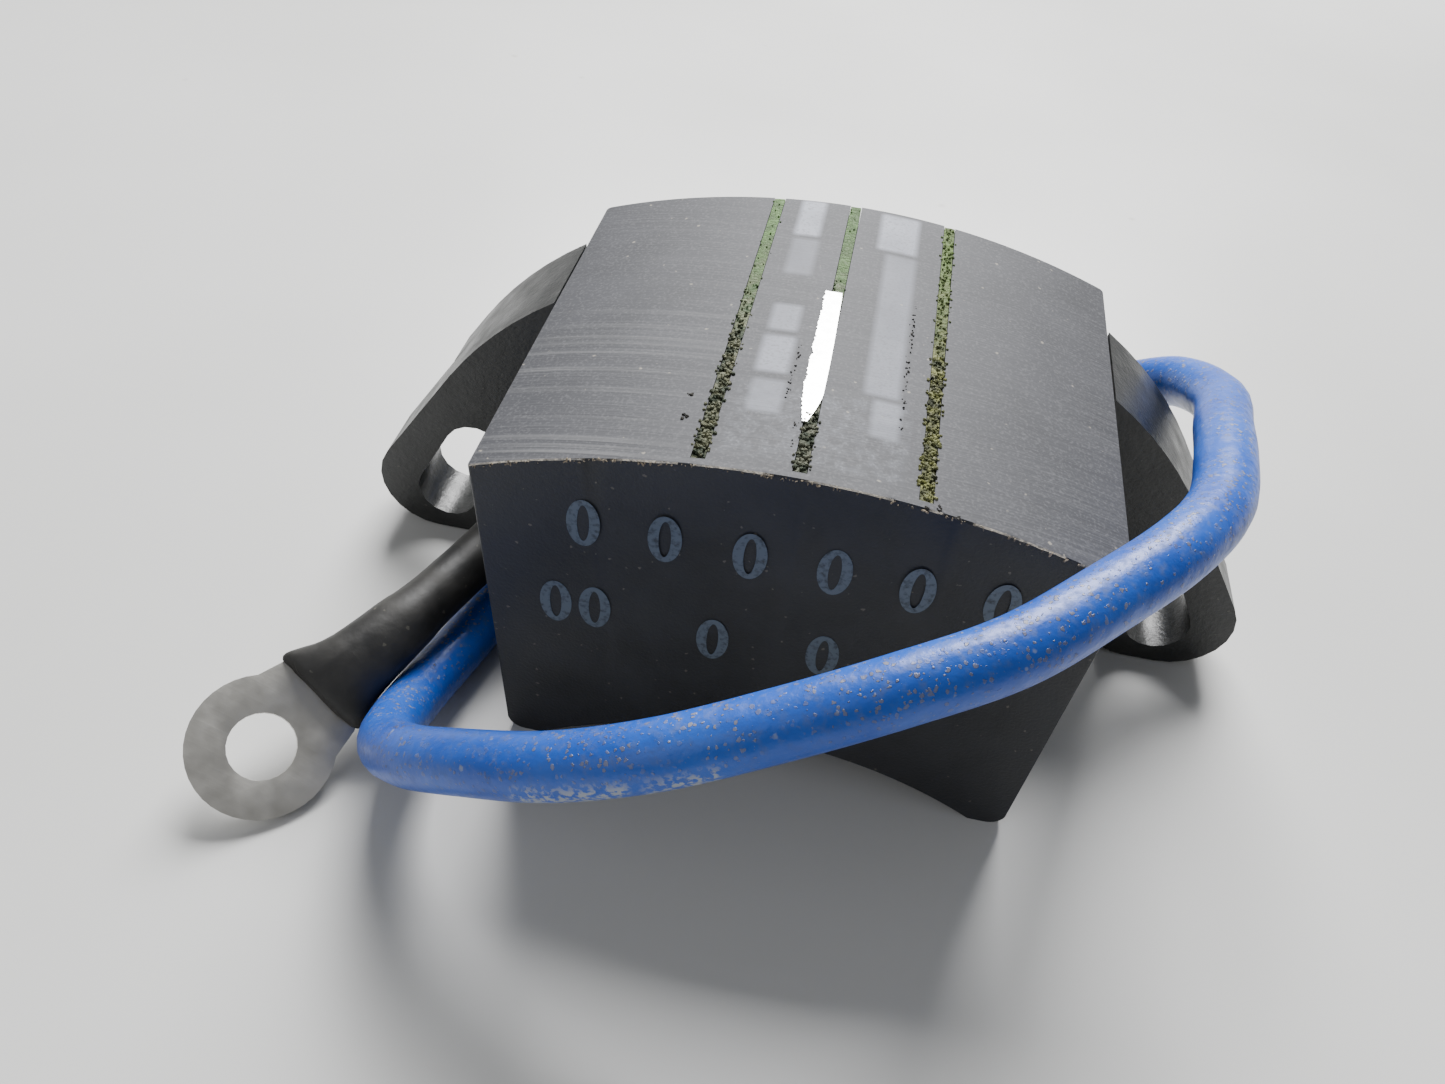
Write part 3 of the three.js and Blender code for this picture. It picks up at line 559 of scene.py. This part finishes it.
# Three inlaid strips of copper alloy, set in slots across the top and ground flush. Verdigris
# covers them: smooth and green at the back, crumbling and yellow-brown towards the front.
def make_patina(name, bright, dark, crumb_tone):
    material, tree, shader = new_material(name, 0.75)
    place = object_place(tree)
    along = add_node(tree, "ShaderNodeSeparateXYZ", {"Vector": place})
    clean = add_node(tree, "ShaderNodeMapRange", {
        "Value": along.outputs["Y"], "From Min": -0.004, "From Max": 0.014}).outputs["Result"]
    blotch = use_group(tree, cloud, {"Vector": place, "Scale": 900.0, "Low": 0.38, "High": 0.60})
    fine = use_group(tree, cloud, {"Vector": place, "Scale": 3600.0, "Low": 0.42, "High": 0.60})
    rough_tone = mix_colour(tree, blotch, dark, crumb_tone)
    rough_tone = mix_colour(tree, combine(tree, "MULTIPLY", fine, 0.6), rough_tone, dark)
    pale = use_group(tree, cloud, {"Vector": place, "Scale": 2300.0, "Low": 0.58, "High": 0.68})
    rough_tone = mix_colour(tree, combine(tree, "MULTIPLY", pale, 0.6), rough_tone, (0.33, 0.33, 0.22))
    smooth_tone = mix_colour(tree, combine(tree, "MULTIPLY", blotch, 0.5), bright, dark)
    tree.links.new(mix_colour(tree, clean, rough_tone, smooth_tone), shader.inputs["Base Color"])
    raise_surface(tree, shader, fine, 0.00008)
    return material


GREEN = (0.105, 0.205, 0.055)
OLIVE = (0.020, 0.032, 0.013)
FINISHES = {"left": (GREEN, OLIVE, (0.19, 0.19, 0.11)), "middle": (GREEN, OLIVE, (0.17, 0.17, 0.12)),
            "right": ((0.115, 0.185, 0.035), (0.030, 0.034, 0.012), (0.24, 0.25, 0.075))}
CRUMBS = {"left": 330, "middle": 130, "right": 560}
STRIP_LENGTH, STRIP_MIDDLE_Y = 0.0409, 0.00045
SMEAR_BACK, SMEAR_FRONT = 0.0046, -0.0142
for side, strip_x in STRIP_X.items():
    deselect_all()
    bpy.ops.mesh.primitive_grid_add(
        x_subdivisions=6, y_subdivisions=180, size=1.0, location=(strip_x, STRIP_MIDDLE_Y, CROWN_Z))
    strip = bpy.context.object
    strip.scale = (2 * STRIP_HALF, STRIP_LENGTH, 1.0)
    bpy.ops.object.transform_apply(location=True, rotation=True, scale=True)
    for vertex in strip.data.vertices:
        decay = min(1.0, max(0.0, (0.012 - vertex.co.y) / 0.02))
        if side == "right":
            decay = 0.35 + 0.65 * decay
        pit = noise.noise(vertex.co * 2600.0) + 0.7 * noise.noise(vertex.co * 900.0)
        vertex.co.z = top_z(vertex.co.x) - 0.00003 - decay * 0.00006 + decay * 0.00018 * pit
    bpy.ops.object.mode_set(mode="EDIT")
    bpy.ops.mesh.select_all(action="SELECT")
    bpy.ops.mesh.extrude_region_move(TRANSFORM_OT_translate={"value": (0, 0, -0.004)})
    bpy.ops.transform.resize(value=(1, 1, 0), center_override=(0, 0, STRIP_FLOOR_Z))
    bpy.ops.mesh.select_all(action="SELECT")
    bpy.ops.mesh.normals_make_consistent(inside=False)
    bpy.ops.object.mode_set(mode="OBJECT")
    spots = []
    while len(spots) < CRUMBS[side]:
        y = rng.uniform(STRIP_FRONT_Y + 0.0003, 0.0205)
        decay = min(1.0, max(0.04, (0.010 - y) / 0.022))
        if side == "right":
            decay = max(0.35, decay)
        if rng.random() > decay or (side == "middle" and SMEAR_FRONT + 0.0015 < y < SMEAR_BACK):
            continue
        x = strip_x + max(-0.0007, min(0.0007, rng.gauss(0, 0.00036)))
        size = rng.uniform(0.00006, 0.00017) * (0.6 + 0.6 * decay)
        spots.append(((x, y, top_z(x) + 0.00002), (size, size, size * 0.9)))
    crumbs = scatter("crumbs", spots)
    deselect_all()
    crumbs.select_set(True)
    strip.select_set(True)
    bpy.context.view_layer.objects.active = strip
    bpy.ops.object.join()
    strip.name = f"strip_{side}"
    strip.data.materials.clear()
    strip.data.materials.append(make_patina(f"verdigris_{side}", *FINISHES[side]))
    shade_smooth(strip)
    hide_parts(f"inlay_strip_{side}")
    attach(strip, "root")
bpy.data.objects.remove(crumb)


# A smear of bright bare metal over the middle strip, dragged out by the grinding: straight along
# the strip's edge and torn on its other side.
deselect_all()
bpy.ops.mesh.primitive_grid_add(x_subdivisions=6, y_subdivisions=220, size=1.0, location=(0, 0, 0))
smear = bpy.context.object
smear.name = "bright_smear"
SMEAR_RISE, SMEAR_THICK = 0.00015, 0.00016
for vertex in smear.data.vertices:
    run = vertex.co.y + 0.5
    y = SMEAR_FRONT + run * (SMEAR_BACK - SMEAR_FRONT)
    torn = 0.00016 * noise.noise(Vector((0, y * 900, 0))) + 0.00014 * noise.noise(Vector((3, y * 3600, 0)))
    point = max(0.0, 0.20 - run) / 0.20
    left = -0.00128 + torn + 0.00040 * point
    right = 0.00028 + 0.00008 * math.sin(4 * run) - 0.00075 * point ** 1.5 - 0.0008 * max(0.0, run - 0.94)
    x = left + (vertex.co.x + 0.5) * (right - left)
    vertex.co = Vector((x, y, top_z(x) + SMEAR_RISE))
wall = smear.modifiers.new("wall", "SOLIDIFY")
wall.thickness = SMEAR_THICK
bpy.ops.object.modifier_apply(modifier="wall")
bare, tree, shader = new_material("bare_metal", 0.3, 1.0)
place = object_place(tree)
drag = use_group(tree, cloud, {"Vector": place, "Scale": 1500.0, "Low": 0.3, "High": 0.7})
tree.links.new(mix_colour(tree, drag, (0.86, 0.87, 0.85), (0.97, 0.97, 0.96)), shader.inputs["Base Color"])
tree.links.new(spread(tree, drag, 0.28, 0.45), shader.inputs["Roughness"])
raise_surface(tree, shader, drag, 0.000006)
smear.data.materials.append(bare)
shade_smooth(smear)
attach(smear, "root")


# The core is a stack of steel plates dipped in black varnish. Seven long plates carry the slots of
# the mounting ears, and five short plates behind them stop above the slots.
def finish_copy(node, name, bevel, segments=2):
    source = frame["nodes"][node]
    copy = source.copy()
    copy.data = source.data.copy()
    copy.parent = None
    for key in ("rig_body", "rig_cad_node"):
        if key in copy:
            del copy[key]
    copy.name = name
    bpy.context.collection.objects.link(copy)
    deselect_all()
    copy.select_set(True)
    bpy.context.view_layer.objects.active = copy
    bpy.ops.object.mode_set(mode="EDIT")
    bpy.ops.mesh.select_all(action="SELECT")
    bpy.ops.mesh.remove_doubles(threshold=0.000002)
    bpy.ops.mesh.dissolve_limited(angle_limit=math.radians(0.4))
    bpy.ops.mesh.customdata_custom_splitnormals_clear()
    bpy.ops.object.mode_set(mode="OBJECT")
    if bevel:
        edge = copy.modifiers.new("edge", "BEVEL")
        edge.width = bevel
        edge.segments = segments
        edge.limit_method = "ANGLE"
        edge.angle_limit = SMOOTH_ANGLE
        bpy.ops.object.modifier_apply(modifier="edge")
    shade_smooth(copy)
    copy.data.materials.clear()
    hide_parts(node)
    return copy


varnish, tree, shader = new_material("black_varnish", 0.38)
place = object_place(tree)
mottle = use_group(tree, cloud, {"Vector": place, "Scale": 350.0, "Low": 0.3, "High": 0.7})
tone = mix_colour(tree, mottle, (0.008, 0.009, 0.009), (0.018, 0.019, 0.018))
grit = use_group(tree, specks, {"Vector": place, "Scale": 800.0, "Size": 0.15})
tone = mix_colour(tree, combine(tree, "MULTIPLY", grit, 0.4), tone, (0.12, 0.11, 0.09))
tree.links.new(tone, shader.inputs["Base Color"])
tree.links.new(spread(tree, mottle, 0.30, 0.48), shader.inputs["Roughness"])
grain = use_group(tree, cloud, {"Vector": place, "Scale": 2200.0, "Low": 0.2, "High": 0.8})
raise_surface(tree, shader, grain, 0.00003)
plate_nodes = [f"core_plate_long_{i:02d}" for i in range(1, 8)]
plate_nodes += [f"core_plate_short_{i:02d}" for i in range(1, 6)]
JOINT_FILL = 0.000036
for node in plate_nodes:
    plate = finish_copy(node, node.replace("core_plate", "varnished_plate"), 0.0)
    middle_y = sum(corner.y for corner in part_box(node)) / 2
    for vertex in plate.data.vertices:
        if vertex.co.y > middle_y and node != plate_nodes[-1]:
            vertex.co.y += JOINT_FILL
    plate.data.materials.append(varnish)
    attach(plate, "root")


# The casting resin fills the case from below and is dished a little under the rim, with a skin
# that set glossy and shows faint ripples.
resin_fill = finish_copy("potting_resin", "resin_fill", 0.0)
resin, tree, shader = new_material("casting_resin", 0.22)
place = object_place(tree)
swirl = use_group(tree, cloud, {"Vector": place, "Scale": 120.0, "Low": 0.25, "High": 0.75})
tone = mix_colour(tree, swirl, (0.007, 0.007, 0.008), (0.016, 0.015, 0.015))
tree.links.new(tone, shader.inputs["Base Color"])
tree.links.new(spread(tree, swirl, 0.16, 0.34), shader.inputs["Roughness"])
raise_surface(tree, shader, swirl, 0.00012)
resin_fill.data.materials.append(resin)
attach(resin_fill, "root")


# Inside the block: two steel rivets through the stack, a natural nylon bobbin, the two enamelled
# copper windings with varnished paper between and over them, and the brass tags and their wires.
def inner_material(name, dark, pale, roughness, metallic, turns_per_metre=0.0):
    material, tree, shader = new_material(name, roughness, metallic)
    place = object_place(tree)
    blotch = use_group(tree, cloud, {"Vector": place, "Scale": 300.0, "Low": 0.3, "High": 0.7})
    tree.links.new(mix_colour(tree, blotch, dark, pale), shader.inputs["Base Color"])
    tree.links.new(spread(tree, blotch, roughness - 0.06, roughness + 0.06), shader.inputs["Roughness"])
    if turns_per_metre:
        turns = add_node(tree, "ShaderNodeTexWave",
                         {"Vector": place, "Scale": turns_per_metre, "Distortion": 0.3})
        raise_surface(tree, shader, turns.outputs["Fac"], 0.0001)
    else:
        raise_surface(tree, shader, blotch, 0.00003)
    return material


INNER = {
    "rivet_steel": (("core_rivet_left", "core_rivet_right"), (0.35, 0.35, 0.36), (0.5, 0.5, 0.52),
                    0.35, 1.0, 0),
    "bobbin_plastic": (("bobbin",), (0.62, 0.57, 0.46), (0.72, 0.68, 0.57), 0.5, 0.0, 0),
    "copper": (("primary_winding", "secondary_winding", "earth_wire", "output_wire", "lead_conductor"),
               (0.55, 0.20, 0.09), (0.75, 0.32, 0.15), 0.32, 1.0, 900.0),
    "insulation_paper": (("interlayer_insulation", "outer_insulation"),
                         (0.42, 0.31, 0.15), (0.58, 0.46, 0.25), 0.7, 0.0, 0),
    "brass": (("earth_tag", "output_tag"), (0.55, 0.40, 0.16), (0.70, 0.55, 0.25), 0.35, 1.0, 0),
}
for slot_name, (nodes, *look) in INNER.items():
    material = inner_material(f"{slot_name}_finish", *look)
    for node in nodes:
        frame["nodes"][node].data.materials.clear()
        frame["nodes"][node].data.materials.append(material)


# The grommet is a short angled plug of black rubber that grips the lead where it leaves the block.
# It is moulded in one piece with a collar round its mouth.
grommet = finish_copy("lead_grommet", "rubber_grommet", 0.00015)
grommet.data.materials.append(
    plain_grit("grommet_rubber", (0.012, 0.012, 0.012), (0.03, 0.03, 0.029), 700.0, 0.7))
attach(grommet, "root")


# The lead is a 5 mm stranded wire in a thick blue jacket. It leaves the block low on the left,
# loops round the front, right and back, and comes through the gap beside the left ear.
LEAD_RADIUS = 0.0025
LEAD_ROUTE = [
    (-0.0267, -0.0071, 0.0034), (-0.0278, -0.0086, 0.0032), (-0.0296, -0.0145, 0.0028),
    (-0.0312, -0.0225, 0.0038), (-0.0305, -0.0300, 0.0075), (-0.0265, -0.0345, 0.0125),
    (-0.0205, -0.0370, 0.0170), (-0.0135, -0.0385, 0.0210), (-0.0060, -0.0385, 0.0250),
    (0.0015, -0.0365, 0.0280), (0.0090, -0.0340, 0.0310), (0.0160, -0.0305, 0.0330),
    (0.0220, -0.0250, 0.0340), (0.0275, -0.0190, 0.0345), (0.0315, -0.0120, 0.0335),
    (0.0335, -0.0040, 0.0320), (0.0350, 0.0035, 0.0300), (0.0365, 0.0115, 0.0275),
    (0.0345, 0.0190, 0.0240), (0.0295, 0.0235, 0.0190), (0.0225, 0.0265, 0.0155),
    (0.0150, 0.0280, 0.0125), (0.0070, 0.0290, 0.0110), (-0.0015, 0.0295, 0.0100),
    (-0.0095, 0.0295, 0.0095), (-0.0180, 0.0275, 0.0090), (-0.0250, 0.0235, 0.0080),
    (-0.0280, 0.0160, 0.0075), (-0.0280, 0.0080, 0.0075), (-0.0280, 0.0002, 0.0080),
]
STEPS_PER_SPAN = 10


def smooth_route(route, steps):
    points = [Vector(p) for p in route]
    points = [2 * points[0] - points[1], *points, 2 * points[-1] - points[-2]]
    line = []
    for a, b, c, d in zip(points, points[1:], points[2:], points[3:]):
        t1 = (b - a).length ** 0.5
        t2 = t1 + (c - b).length ** 0.5
        t3 = t2 + (d - c).length ** 0.5
        for i in range(steps):
            t = t1 + (t2 - t1) * i / steps
            ab = a.lerp(b, t / t1)
            bc = b.lerp(c, (t - t1) / (t2 - t1))
            cd = c.lerp(d, (t - t2) / (t3 - t2))
            abc = ab.lerp(bc, t / t2)
            bcd = bc.lerp(cd, (t - t1) / (t3 - t1))
            line.append(abc.lerp(bcd, (t - t1) / (t2 - t1)))
    return [*line, points[-2]]


centreline = smooth_route(LEAD_ROUTE, STEPS_PER_SPAN)
lead_curve = bpy.data.curves.new("blue_lead", "CURVE")
lead_curve.dimensions = "3D"
lead_curve.bevel_depth = LEAD_RADIUS
lead_curve.bevel_resolution = 8
lead_curve.use_fill_caps = True
spline = lead_curve.splines.new("POLY")
spline.points.add(len(centreline) - 1)
for point, where in zip(spline.points, centreline):
    point.co = (*where, 1.0)
spline.use_smooth = True
lead = bpy.data.objects.new("blue_lead", lead_curve)
bpy.context.collection.objects.link(lead)
jacket, tree, shader = new_material("blue_jacket", 0.42)
place = object_place(tree)
up = add_node(tree, "ShaderNodeNewGeometry")
upward = add_node(tree, "ShaderNodeSeparateXYZ", {"Vector": up.outputs["Normal"]})
# Partly painted highlight, partly real dust: faces turned upward get a pale film that stands in for the top's
# sheen as well as for dust; the brown specks further down follow the same upward mask as dirt on the top.
upward_dust_and_sheen = add_node(tree, "ShaderNodeMapRange", {
    "Value": upward.outputs["Z"], "From Min": -0.5, "From Max": 0.9, "To Min": 0.15}).outputs["Result"]
blotch = use_group(tree, cloud, {"Vector": place, "Scale": 160.0, "Low": 0.3, "High": 0.7})
tone = mix_colour(tree, blotch, (0.007, 0.070, 0.42), (0.013, 0.105, 0.52))
dust_and_sheen_film = use_group(tree, cloud, {"Vector": place, "Scale": 1300.0, "Low": 0.50, "High": 0.72})
dust_and_sheen_film = combine(tree, "MULTIPLY", dust_and_sheen_film, upward_dust_and_sheen)
# Painted sheen and dust: the upward film lightens the blue toward pale whitish grey-blue.
tone = mix_colour(tree, combine(tree, "MULTIPLY", dust_and_sheen_film, 0.45), tone, (0.10, 0.13, 0.22))
# Painted reflection: the underside is lightened toward pale grey-blue, broken up by cloudy noise, standing in
# for the pale table reflected in the jacket.
under = add_node(tree, "ShaderNodeMapRange", {
    "Value": upward.outputs["Z"], "From Min": -0.2, "From Max": -0.9}).outputs["Result"]
painted_floor_reflection = use_group(tree, cloud, {"Vector": place, "Scale": 700.0, "Low": 0.35, "High": 0.65})
painted_floor_reflection = combine(tree, "MULTIPLY", under, painted_floor_reflection)
tone = mix_colour(tree, combine(tree, "MULTIPLY", painted_floor_reflection, 0.5), tone, (0.14, 0.18, 0.26))
brown = use_group(tree, specks, {"Vector": place, "Scale": 1100.0, "Size": 0.23})
fine_brown = use_group(tree, specks, {"Vector": place, "Scale": 2400.0, "Size": 0.50})
patchy = use_group(tree, cloud, {"Vector": place, "Scale": 210.0, "Low": 0.36, "High": 0.58})
brown = combine(tree, "ADD", brown, combine(tree, "MULTIPLY", fine_brown, patchy))
brown = combine(tree, "MULTIPLY", brown, upward_dust_and_sheen)
soil = mix_colour(tree, blotch, (0.10, 0.085, 0.065), (0.30, 0.28, 0.24))
tone = mix_colour(tree, combine(tree, "MULTIPLY", brown, 0.75), tone, soil)
pale = use_group(tree, specks, {"Vector": place, "Scale": 520.0, "Size": 0.16})
tone = mix_colour(tree, combine(tree, "MULTIPLY", pale, 0.45), tone, (0.34, 0.37, 0.40))
SCUFFS = [(-0.0115, -0.0400, 0.0042, 0.0026), (-0.0040, -0.0390, 0.0025, 0.0020)]
ragged = use_group(tree, cloud, {"Vector": place, "Scale": 1900.0, "Low": 0.47, "High": 0.56})
for middle_x, middle_y, half_x, half_y in SCUFFS:
    scuff = use_group(tree, rectangle, {
        "Vector": place, "Middle": (middle_x, middle_y, 0.0), "Half X": half_x, "Half Y": half_y})
    low_side = add_node(tree, "ShaderNodeMapRange", {
        "Value": upward.outputs["Z"], "From Min": 0.35, "From Max": -0.05}).outputs["Result"]
    scuff = combine(tree, "MULTIPLY", combine(tree, "MULTIPLY", scuff, low_side), ragged)
    tone = mix_colour(tree, combine(tree, "MULTIPLY", scuff, 0.8), tone, (0.42, 0.44, 0.42))
tree.links.new(tone, shader.inputs["Base Color"])
tree.links.new(spread(tree, dust_and_sheen_film, 0.36, 0.62), shader.inputs["Roughness"])
dents = use_group(tree, cloud, {"Vector": place, "Scale": 420.0, "Low": 0.2, "High": 0.8})
dents = combine(tree, "ADD", combine(tree, "MULTIPLY", dents, 0.7), combine(tree, "MULTIPLY", brown, 0.3))
raise_surface(tree, shader, dents, 0.00016)
lead_curve.materials.append(jacket)
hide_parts("lead")
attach(lead, "root")


# A black heat-shrink sleeve grips the lead's end, the bare conductor and the terminal's barrel.
# It was shrunk on with hot air, so it shows the steps under it and flares flat over the neck.
sleeve = finish_copy("heat_shrink_sleeve", "shrunk_sleeve", 0.0)
bpy.ops.object.mode_set(mode="EDIT")
bpy.ops.mesh.select_all(action="SELECT")
bpy.ops.mesh.tris_convert_to_quads(face_threshold=math.radians(70), shape_threshold=math.radians(70))
bpy.ops.object.mode_set(mode="OBJECT")
SWELL, SWELL_WAVE = 0.00010, 0.00005
smooth = sleeve.modifiers.new("smooth", "SUBSURF")
smooth.levels = 2
smooth.render_levels = 2
bpy.ops.object.modifier_apply(modifier="smooth")
for vertex in sleeve.data.vertices:
    vertex.co += vertex.normal * (SWELL + SWELL_WAVE * noise.noise(vertex.co * 700.0))
bpy.ops.object.shade_smooth()
shrink, tree, shader = new_material("heat_shrink", 0.5)
place = object_place(tree)
haze = use_group(tree, cloud, {"Vector": place, "Scale": 220.0, "Low": 0.35, "High": 0.7})
tone = mix_colour(tree, haze, (0.012, 0.012, 0.012), (0.040, 0.038, 0.034))
grit = use_group(tree, specks, {"Vector": place, "Scale": 900.0, "Size": 0.2})
tone = mix_colour(tree, combine(tree, "MULTIPLY", grit, 0.4), tone, (0.15, 0.14, 0.11))
tree.links.new(tone, shader.inputs["Base Color"])
tree.links.new(spread(tree, haze, 0.46, 0.66), shader.inputs["Roughness"])
raise_surface(tree, shader, haze, 0.00008)
sleeve.data.materials.append(shrink)
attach(sleeve, "root")


# The ring terminal is stamped from tinned copper sheet and crimped on. The tin has gone dull and
# warm grey, with fine scratches and brighter edges.
terminal = finish_copy("ring_terminal", "tinned_ring", 0.00013, 3)
tin, tree, shader = new_material("dull_tin", 0.42, 0.85)
place = object_place(tree)
blotch = use_group(tree, cloud, {"Vector": place, "Scale": 420.0, "Low": 0.3, "High": 0.7})
tone = mix_colour(tree, blotch, (0.48, 0.465, 0.43), (0.57, 0.555, 0.52))
rubbed = use_group(tree, scratches, {"Vector": place, "Across": 2600.0, "Low": 0.5, "High": 0.75})
tone = mix_colour(tree, combine(tree, "MULTIPLY", rubbed, 0.16), tone, (0.62, 0.61, 0.58))
tree.links.new(tone, shader.inputs["Base Color"])
tree.links.new(spread(tree, blotch, 0.36, 0.52), shader.inputs["Roughness"])
raise_surface(tree, shader, combine(tree, "ADD", blotch, combine(tree, "MULTIPLY", rubbed, 0.2)), 0.00002)
terminal.data.materials.append(tin)
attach(terminal, "root")


# The studio: a pale surround, one broad soft light above and behind, and a weak fill in front.
# The camera looks down on the front face from just above it.
world = bpy.data.worlds.new("pale_room")
bpy.context.scene.world = world
world.use_nodes = True
background = world.node_tree.nodes["Background"].inputs
background["Color"].default_value = (0.92, 0.94, 0.96, 1.0)
background["Strength"].default_value = 0.25


def add_softbox(name, place, aim, size, power):
    light = bpy.data.lights.new(name, "AREA")
    light.shape = "SQUARE"
    light.size = size
    light.energy = power
    lamp = bpy.data.objects.new(name, light)
    bpy.context.collection.objects.link(lamp)
    lamp.location = place
    lamp.rotation_euler = (Vector(aim) - Vector(place)).to_track_quat("-Z", "Y").to_euler()


BLOCK_MIDDLE = (0, 0, 0.02)
add_softbox("overhead", (-0.01, 0.48, 0.50), BLOCK_MIDDLE, 0.42, 15.0)
add_softbox("front_fill", (-0.35, -0.45, 0.40), BLOCK_MIDDLE, 0.5, 0.9)

camera_data = bpy.data.cameras.new("camera")
camera_data.sensor_width = 36.0
camera_data.lens = 28.65
camera_data.clip_start = 0.005
camera = bpy.data.objects.new("camera", camera_data)
bpy.context.collection.objects.link(camera)
camera.location = (0.0016, -0.08346, 0.08904)
camera.rotation_euler = [math.radians(angle) for angle in (45.97, -4.64, 10.56)]
bpy.context.scene.camera = camera
